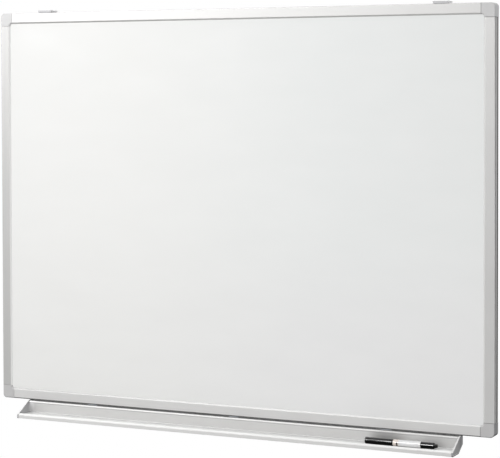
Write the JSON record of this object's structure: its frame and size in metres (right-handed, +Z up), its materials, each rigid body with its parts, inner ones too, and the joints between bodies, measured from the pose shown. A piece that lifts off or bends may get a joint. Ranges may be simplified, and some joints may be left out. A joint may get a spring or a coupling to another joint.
{
  "type": "magnetic whiteboard",
  "caption": "Wall-hung magnetic whiteboard with an aluminium frame, plastic corner caps, wall brackets, a sliding pen tray and a slim capped marker.",
  "frame": {"origin": "on the wall plane, midway between the two wall-screw holes of the brackets", "axes": "+X to the right along the board, +Y into the wall, +Z up"},
  "size_m": [1, 0.0697, 0.7845],
  "materials": {
    "anodised": "satin clear anodised, fine grain along the extrusion",
    "grey_plastic": "moulded, light grey, fine texture",
    "enamel": "glossy white vitreous enamel on steel",
    "core_board": "paper honeycomb board",
    "galvanised": "galvanised sheet with a faint spangle",
    "zinc_plated": "bright zinc plate",
    "bumper_rubber": "soft black rubber",
    "black_plastic": "polished black",
    "white_plastic": "satin white",
    "collar_plastic": "pale, slightly warm",
    "nib_felt": "pressed felt soaked with ink"
  },
  "bodies": {
    "wall_brackets": {"wall_bracket_left": "grey_plastic", "wall_bracket_right": "grey_plastic"},
    "board": {"frame_rail_top": "anodised", "frame_rail_bottom": "anodised", "frame_rail_left": "anodised", "frame_rail_right": "anodised", "corner_cap_top_left": "grey_plastic", "corner_cap_top_right": "grey_plastic", "corner_cap_bottom_left": "grey_plastic", "corner_cap_bottom_right": "grey_plastic", "corner_screws": "zinc_plated", "writing_surface": "enamel", "panel_core": "core_board", "back_sheet": "galvanised", "wall_bumper_left": "bumper_rubber", "wall_bumper_right": "bumper_rubber"},
    "pen_tray": {"tray_profile": "anodised", "tray_end_cap_left": "grey_plastic", "tray_end_cap_right": "grey_plastic", "tray_t_nuts": "zinc_plated", "tray_screws": "zinc_plated"},
    "marker": {"marker_barrel": "white_plastic", "marker_collar": "collar_plastic", "marker_nib": "nib_felt", "marker_tail_plug": "black_plastic", "marker_reservoir": "nib_felt"},
    "marker_cap": {"marker_cap": "black_plastic"}
  },
  "joints": [
    {"name": "board_shift", "type": "slide", "parent": "wall_brackets", "child": "board", "axis": [1, 0, 0], "range_m": [-0.02, 0.02]},
    {"name": "tray_slide", "type": "slide", "parent": "board", "child": "pen_tray", "axis": [1, 0, 0], "range_m": [-0.05, 0.05]},
    {"name": "marker_lift", "type": "slide", "parent": "pen_tray", "child": "marker", "axis": [0, 0, 1], "range_m": [0, 0.08]},
    {"name": "cap_pull", "type": "slide", "parent": "marker", "child": "marker_cap", "axis": [-1, 0, 0], "range_m": [0, 0.06]}
  ]
}
